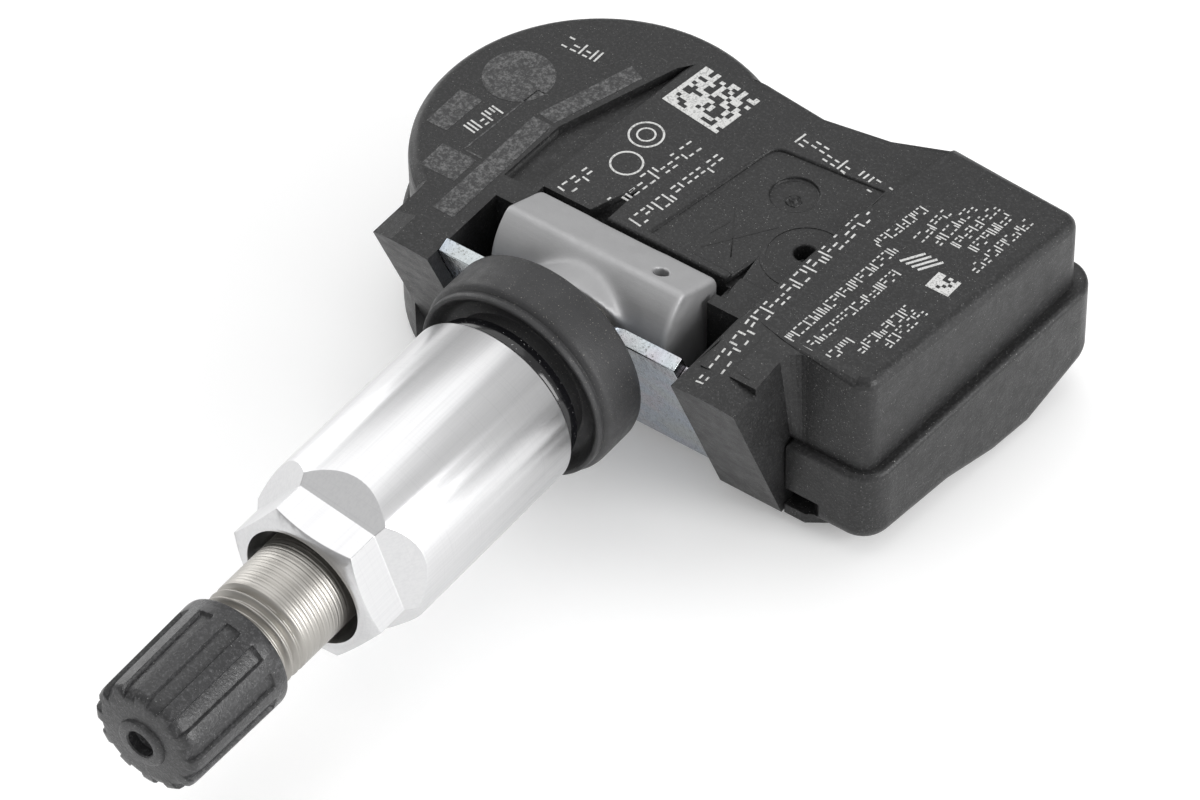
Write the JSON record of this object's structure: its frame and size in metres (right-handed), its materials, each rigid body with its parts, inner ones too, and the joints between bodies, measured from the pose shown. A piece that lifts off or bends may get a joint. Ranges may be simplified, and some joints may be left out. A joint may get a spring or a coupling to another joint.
{
  "type": "tire pressure sensor",
  "caption": "Wheel tire pressure sensor: two-shell housing with a fork, and a clamp-in metal valve with tilting head, rubber grommet, sleeve nut and screw cap.",
  "frame": {"origin": "on the valve's axis, in the plane where the grommet's lip seats on the inside of the rim, so at the centre of the wheel's valve hole", "axes": "+Y along the valve from its cap to the sensor housing, +Z out of the housing's top face, +X towards the box-shaped end of the housing"},
  "size_m": [0.048, 0.0761, 0.0204],
  "materials": {
    "housing_plastic": "fine grain, matt",
    "head_metal": "die cast, blasted",
    "nut_metal": "turned, satin",
    "stem_metal": "nickel plated, turned",
    "plate_steel": "zinc plated, bright",
    "seal_rubber": "matt",
    "washer_plastic": "polished",
    "cap_plastic": "fine grain, satin",
    "ring_plastic": "natural nylon",
    "core_brass": "turned",
    "spring_steel": "bright",
    "board": "solder mask",
    "chip_plastic": "moulded",
    "cell_steel": "bright",
    "tin_steel": "tin plated",
    "ferrite": "sintered",
    "copper_wire": "enamelled",
    "gel_silicone": "soft"
  },
  "bodies": {
    "housing": {"housing_cover": "housing_plastic", "housing_base": "housing_plastic", "retaining_plate": "plate_steel", "circuit_board": "board", "battery_cell": "cell_steel", "battery_tab_positive": "tin_steel", "battery_tab_negative": "tin_steel", "sensor_chip": "chip_plastic", "port_seal": "gel_silicone", "lf_coil_core": "ferrite", "lf_coil_winding": "copper_wire", "crystal": "tin_steel", "controller_chip": "chip_plastic", "rf_antenna": "tin_steel", "smd_components": "chip_plastic"},
    "valve": {"valve_stem": "stem_metal", "valve_head": "head_metal", "rim_grommet": "seal_rubber", "core_barrel": "core_brass", "core_gasket": "seal_rubber", "core_spring": "spring_steel"},
    "nut_carriage": {"thrust_washer": "washer_plastic"},
    "nut": {"sleeve_nut": "nut_metal", "nut_shear_ring": "ring_plastic"},
    "cap_carriage": {"cap_seal": "seal_rubber"},
    "cap": {"valve_cap": "cap_plastic"},
    "core_plunger": {"core_pin": "core_brass", "core_seal": "seal_rubber"}
  },
  "joints": [
    {"name": "valve_tilt", "type": "hinge", "parent": "housing", "child": "valve", "pos_m": [0, 0.0125, 0.0013], "axis": [1, 0, 0], "range_deg": [-5, 5]},
    {"name": "nut_travel", "type": "slide", "parent": "valve", "child": "nut_carriage", "axis": [0, -1, 0], "range_m": [0, 0.00556]},
    {"name": "nut_turn", "type": "hinge", "parent": "nut_carriage", "child": "nut", "pos_m": [0, -0.012, 0], "axis": [0, -1, 0], "range_deg": [0, 2520]},
    {"name": "cap_travel", "type": "slide", "parent": "valve", "child": "cap_carriage", "axis": [0, -1, 0], "range_m": [0, 0.00635]},
    {"name": "cap_turn", "type": "hinge", "parent": "cap_carriage", "child": "cap", "pos_m": [0, -0.035, 0], "axis": [0, -1, 0], "range_deg": [0, 2880]},
    {"name": "core_press", "type": "slide", "parent": "valve", "child": "core_plunger", "axis": [0, 1, 0], "range_m": [0, 0.0015], "stiffness_N_per_m": 800, "springref_m": -0.001, "deforming": ["core_spring"]}
  ],
  "couplings": [
    {"joint": "nut_travel", "follows": "nut_turn", "m_per_rad": 0.00012637},
    {"joint": "cap_turn", "follows": "cap_travel", "rad_per_m": 7913.3}
  ]
}
